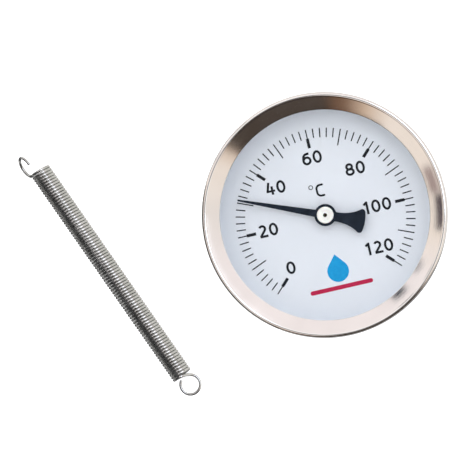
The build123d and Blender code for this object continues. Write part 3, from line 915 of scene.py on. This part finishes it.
def spindle_rod():
    """The spindle, with the centre hole in its end that shows in the middle of the bush."""
    low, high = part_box("spindle")
    hole_z = high.z - CENTRE_HOLE_DEPTH
    profile = [(0, low.z), (high.x - SPINDLE_FOOT_CONE, low.z), (high.x, low.z + SPINDLE_FOOT_CONE)]
    profile += arc((high.x - SPINDLE_EASE, high.z - SPINDLE_EASE), SPINDLE_EASE, 0, math.pi / 2, 5)
    profile += [(CENTRE_HOLE + CENTRE_HOLE_EASE, high.z), (CENTRE_HOLE, high.z - CENTRE_HOLE_EASE)]
    profile += [(CENTRE_HOLE, hole_z), (0, hole_z - CENTRE_HOLE_CONE)]
    piece = turned("spindle_turned", profile, closed=False, steps=SMALL_TURNED_STEPS)
    stands_for(piece, "pointer", "brass", "spindle")
    # painted shade: the spindle wears the darkened brass so that its end shows dark in the middle of the bush
    piece.data.materials[0] = SHADE_DARK_BRASS
    return piece


# ---------------------------------------------------------------- the spring


def along_spring(x, y, z):
    """A point given along the spring's axis, across it and up, in the row frame."""
    turn_x = Vector((math.cos(SPRING_ANGLE), math.sin(SPRING_ANGLE), 0))
    turn_y = Vector((-math.sin(SPRING_ANGLE), math.cos(SPRING_ANGLE), 0))
    return SPRING_CENTRE + turn_x * x + turn_y * y + Vector((0, 0, z))


def joined(start, start_along, end, end_along, pull, count=14):
    """Points of a smooth bend between two ends, without the ends themselves."""
    bend = []
    a = start + start_along.normalized() * pull
    b = end - end_along.normalized() * pull
    for i in range(1, count):
        t = i / count
        bend.append(start * (1 - t) ** 3 + a * 3 * t * (1 - t) ** 2 + b * 3 * t * t * (1 - t) + end * t**3)
    return bend


def spring():
    """One length of wire: the raised open hook, the close-wound body and the flat, nearly closed eye."""
    mean = SPRING_OUTER_RADIUS - SPRING_WIRE / 2
    half = SPRING_PITCH * SPRING_TURNS / 2

    def winding(turns):
        """The middle of the wire that many turns from the hook's end of the body."""
        angle = math.pi - 2 * math.pi * turns
        return Vector((-half + SPRING_PITCH * turns, mean * math.cos(angle), mean * math.sin(angle)))

    def hook_at(angle):
        """The middle of the wire round the hook, in the hook's tilted plane."""
        down = Vector((0, -math.cos(HOOK_TILT), -math.sin(HOOK_TILT)))
        centre = Vector((-half - HOOK_RADIUS, -mean, 0))
        along = Vector((1, 0, 0)) * HOOK_RADIUS * math.cos(angle)
        return centre + along + down * HOOK_RADIUS * math.sin(angle)

    def eye_at(angle):
        """The middle of the wire round the eye, which lies flat."""
        centre = Vector((half + EYE_RADIUS - EYE_LAP, EYE_OFFSET, 0))
        return centre + Vector((math.cos(angle), math.sin(angle), 0)) * EYE_RADIUS

    tiny = 1e-4
    first, last = HOOK_BEND_TURNS, SPRING_TURNS - EYE_BEND_TURNS
    body_steps = STEPS_PER_TURN * SPRING_TURNS
    hook_turn, eye_turn = HOOK_LEAVE - HOOK_SWEEP, EYE_END - EYE_ENTRY
    hook = [hook_at(HOOK_SWEEP + hook_turn * i / HOOK_STEPS) for i in range(HOOK_STEPS + 1)]
    body = [winding(first + (last - first) * i / body_steps) for i in range(body_steps + 1)]
    eye = [eye_at(EYE_ENTRY + eye_turn * i / EYE_STEPS) for i in range(EYE_STEPS + 1)]
    hook_along = hook_at(HOOK_LEAVE - tiny) - hook_at(HOOK_LEAVE)
    first_along = winding(first + tiny) - body[0]
    last_along = winding(last + tiny) - winding(last)
    eye_along = eye_at(EYE_ENTRY - tiny) - eye_at(EYE_ENTRY)
    path = hook
    path += joined(hook[-1], hook_along, body[0], first_along, HOOK_BEND_PULL, HOOK_BEND_STEPS)
    path += body
    path += joined(body[-1], last_along, eye[0], eye_along, EYE_BEND_PULL)
    path += eye
    piece = wire("clamp_spring_wire", [along_spring(*p) for p in path], SPRING_WIRE / 2)
    dress(piece, "spring_steel")
    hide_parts("clamp_spring_coil", "clamp_spring_eye", "clamp_spring_hook")
    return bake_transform(piece)


# ---------------------------------------------------------------- light, floor and camera

# the dial's top is turned this far to the left in the picture, and azimuths of the light count clockwise
# from the picture's top
ROLL = math.radians(13.0)

# the photographer's room as polished steel sees it: the wall's colour at each azimuth
WHITE_WALL = (0.86, 0.81, 0.78)
CREAM_WALL = (0.93, 0.84, 0.765)
PINK_WALL = (0.95, 0.89, 0.90)
TAN_WALL = (0.66, 0.50, 0.38)
BROWN_WALL = (0.19, 0.10, 0.058)
DARK_DOOR = (0.048, 0.031, 0.020)
NEAR_FLOOR = (0.10, 0.10, 0.10)
FAR_FLOOR = (0.80, 0.79, 0.77)
CEILING = (1.15, 1.15, 1.15)
CEILING_TINTED = (0.88, 0.83, 0.82)
OVERHEAD_BEHIND = (0.01, 0.02, 0.04)
OVERHEAD_AHEAD = (0.10, 0.10, 0.10)
ROOM = [
    (0, PINK_WALL),
    (60, PINK_WALL),
    (90, WHITE_WALL),
    (117, CREAM_WALL),
    (129, TAN_WALL),
    (134, DARK_DOOR),
    (178, DARK_DOOR),
    (195, BROWN_WALL),
    (206, TAN_WALL),
    (219, CREAM_WALL),
    (280, CREAM_WALL),
    (300, PINK_WALL),
]

# what stands before the walls: its azimuths and heights, how softly it ends, all in degrees, and its colour
THINGS = [
    # narrow dark things at the left, which show as streaks in the bezel
    ((249, 258), (33, 38), 4, (0.34, 0.25, 0.24)),
    ((262, 276), (35.5, 46), 2.5, (0.060, 0.042, 0.055)),
    ((295, 299), (20, 31), 2.5, (0.22, 0.22, 0.24)),
    ((311, 316), (20, 33.5), 3, (0.035, 0.045, 0.065)),
    # the dark doorway and the darkness at its foot
    ((130, 184), (-2, 72), 5, (0.058, 0.042, 0.033)),
    ((135, 214), (-2, 28), 5, (0.006, 0.005, 0.005)),
    ((120, 262), (-2, 18), 6, (0.012, 0.010, 0.010)),
    # the bright window
    ((20, 86), (52, 73), 4, (2.7, 2.9, 3.3)),
]

# the light that falls on the object: a dome that is brighter high up and towards the picture's upper left
DOME_DIM = (1.36, 1.36, 1.39)
DOME_BRIGHT = (2.60, 2.60, 2.60)
BRIGHT_AHEAD = 0.82
BRIGHT_LEFT = 0.57
BACKDROP = (0.96, 0.96, 0.96, 1)

FLOOR_REACH = 4.0

# the camera: how far off it is, how far it leans to the picture's right and how wide it sees at the bezel
CAMERA_DISTANCE = 0.9
CAMERA_LEAN = math.radians(5.0)
VIEW_WIDTH = 120.46 * MM
VIEW_CENTRE = (-23.42 * MM, 0.14 * MM)
SENSOR_WIDTH = 36


def world_light():
    """A soft white dome for the light, and the photographer's room for what polished metal mirrors."""
    world = bpy.data.worlds.new("studio")
    bpy.context.scene.world = world
    world.use_nodes = True
    tree = world.node_tree
    tree.nodes.clear()
    ray = add(tree, "ShaderNodeTexCoord").outputs["Generated"]
    x, y, z = add(tree, "ShaderNodeSeparateXYZ", {0: ray}).outputs
    right = maths(tree, "SUBTRACT", times(tree, x, math.cos(ROLL)), times(tree, y, math.sin(ROLL)))
    ahead = maths(tree, "ADD", times(tree, x, math.sin(ROLL)), times(tree, y, math.cos(ROLL)))
    height = times(tree, maths(tree, "ARCSINE", z), 180 / math.pi)
    azimuth = times(tree, maths(tree, "ARCTAN2", right, ahead), 0.5 / math.pi)
    azimuth = maths(tree, "FRACT", azimuth)
    degrees = times(tree, azimuth, 360)

    def smooth(value, low, high, start, end):
        """A value that eases from low to high between start and end."""
        made = add(
            tree,
            "ShaderNodeMapRange",
            {"Value": value, "From Min": start, "From Max": end, "To Min": low, "To Max": high},
            interpolation_type="SMOOTHSTEP",
        )
        return made.outputs["Result"]

    def between(value, low, high, soft):
        """1 between two values, easing to 0 outside them."""
        return times(tree, smooth(value, 0, 1, low - soft, low), smooth(value, 1, 0, high, high + soft))

    def patch(azimuths, heights, soft):
        """1 in a window of azimuth and height in degrees."""
        return times(tree, between(degrees, *azimuths, soft), between(height, *heights, soft))

    room = add(tree, "ShaderNodeValToRGB", {"Fac": azimuth})
    stops = room.color_ramp.elements
    ready = len(stops)
    for place, (at, wall) in enumerate(ROOM):
        stop = stops[place] if place < ready else stops.new(at / 360)
        stop.position = at / 360
        stop.color = (*wall, 1)
    ceiling = mixed(tree, between(degrees, 125, 295, 20), CEILING, CEILING_TINTED)
    colour = mixed(tree, smooth(height, 0, 1, 50, 58), room.outputs["Color"], ceiling)
    near = times(tree, between(degrees, 118, 305, 12), smooth(height, 1, 0, -30, -18))
    details = [(smooth(height, 1, 0, -4, 2), FAR_FLOOR), (near, NEAR_FLOOR)]
    details += [(patch(azimuths, heights, soft), paint) for azimuths, heights, soft, paint in THINGS]
    for share, detail in details:
        colour = mixed(tree, share, colour, detail)
    overhead = mixed(tree, smooth(ahead, 0, 1, -0.04, 0.03), OVERHEAD_BEHIND, OVERHEAD_AHEAD)
    colour = mixed(tree, smooth(height, 0, 1, 76, 80), colour, overhead)
    bright_side = maths(tree, "SUBTRACT", times(tree, ahead, BRIGHT_AHEAD), times(tree, right, BRIGHT_LEFT))
    bright = times(tree, smooth(bright_side, 0, 1, -0.6, 0.9), smooth(height, 0, 1, 10, 45))
    dome = mixed(tree, bright, DOME_DIM, DOME_BRIGHT)
    path = add(tree, "ShaderNodeLightPath")
    dome = mixed(tree, path.outputs["Is Glossy Ray"], dome, colour)
    lit = add(tree, "ShaderNodeBackground", {"Color": dome, "Strength": 1.0})
    seen = add(tree, "ShaderNodeBackground", {"Color": BACKDROP, "Strength": 1.0})
    direct = path.outputs["Is Camera Ray"]
    mix = add(tree, "ShaderNodeMixShader", {0: direct, 1: lit.outputs[0], 2: seen.outputs[0]})
    out = add(tree, "ShaderNodeOutputWorld")
    tree.links.new(mix.outputs[0], out.inputs["Surface"])


def flag():
    """A dark card that stands beside the spring and thins out upwards. Only mirror rays see it."""
    material, tree, shader = new_material("flag_card")
    plug(tree, shader, Base_Color=(0.03, 0.03, 0.03, 1), Roughness=1.0, Specular_IOR_Level=0.0)
    z = add(tree, "ShaderNodeSeparateXYZ", {0: places(tree)}).outputs["Z"]
    only_in_mirrors(tree, shader, spread(tree, z, 1, 0, FLAG_SOLID_HEIGHT, FLAG_HEIGHT))
    card("flag", (-FLAG_DISTANCE, CAD_BOX[0].z), (-FLAG_DISTANCE, FLAG_HEIGHT), material)


def reflector():
    """A white card on the spring's other side that leans away from it. Only mirror rays see it."""
    material, tree, shader = new_material("reflector_card")
    plug(tree, shader, Base_Color=(0, 0, 0, 1), Roughness=1.0, Specular_IOR_Level=0.0)
    plug(tree, shader, Emission_Color=(1.0, 0.985, 0.93, 1), Emission_Strength=0.85)
    only_in_mirrors(tree, shader, 1.0)
    foot = (REFLECTOR_FOOT, CAD_BOX[0].z)
    card("reflector", foot, (REFLECTOR_HEAD, CAD_BOX[0].z + REFLECTOR_HEIGHT), material)


def card(name, foot, head, material):
    """A studio card along the spring, between two lines, each at a distance from its axis and a height."""
    far = SPRING_PITCH * SPRING_TURNS
    rise = -SPRING_CENTRE.z
    ends = [(-far, *foot), (far, *foot), (far, *head), (-far, *head)]
    sheet = new_piece(name, [along_spring(x, y, z + rise) for x, y, z in ends], [(0, 1, 2, 3)])
    sheet.data.materials.append(material)


def only_in_mirrors(tree, shader, solid):
    """Shows a stage material to mirror rays only, as solid as given."""
    mirror = add(tree, "ShaderNodeLightPath").outputs["Is Glossy Ray"]
    show_by(tree, shader, times(tree, mirror, solid))


def show_by(tree, shader, share):
    """Shows a stage material by a share, and sees through the rest of it."""
    clear = add(tree, "ShaderNodeBsdfTransparent")
    mix = add(tree, "ShaderNodeMixShader", {0: share, 1: clear.outputs[0], 2: shader.outputs[0]})
    tree.links.new(mix.outputs[0], tree.nodes["Material Output"].inputs["Surface"])


def floor():
    """A wide pale floor under the saddle's feet and the spring."""
    signs = [(-1, -1), (1, -1), (1, 1), (-1, 1)]
    corners = [(x * FLOOR_REACH, y * FLOOR_REACH, CAD_BOX[0].z) for x, y in signs]
    sheet = new_piece("floor", corners, [(0, 1, 2, 3)])
    sheet.data.materials.append(floor_paper())


def camera():
    """The view: from nearly straight above with a long lens, turned so that the dial's top is to the left."""
    aim = Vector((*VIEW_CENTRE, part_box("bezel_ring")[1].z))
    right = Vector((math.cos(ROLL), -math.sin(ROLL), 0))
    up = Vector((math.sin(ROLL), math.cos(ROLL), 0))
    back = (Vector((0, 0, 1)) * math.cos(CAMERA_LEAN) + right * math.sin(CAMERA_LEAN)).normalized()
    side = up.cross(back).normalized()
    data = bpy.data.cameras.new("camera")
    data.sensor_width = SENSOR_WIDTH
    data.lens = data.sensor_width * CAMERA_DISTANCE / VIEW_WIDTH
    data.clip_start, data.clip_end = 0.05, 50
    eye = bpy.data.objects.new("camera", data)
    bpy.context.scene.collection.objects.link(eye)
    eye.rotation_mode = "QUATERNION"
    eye.rotation_quaternion = Matrix((side, back.cross(side), back)).transposed().to_quaternion()
    eye.location = aim + back * CAMERA_DISTANCE
    bpy.context.scene.camera = eye


# ---------------------------------------------------------------- the scene

for row in frame["record"]["subparts"]:
    dress(frame["nodes"][row["node"]], row["material_slot"])

bezel()
case()
glass()
contact()
saddle()
rivets()
pointer_blade()
bush()
spindle_rod()
spring()

world_light()
floor()
flag()
reflector()
camera()
bpy.context.scene.view_settings.view_transform = "Standard"
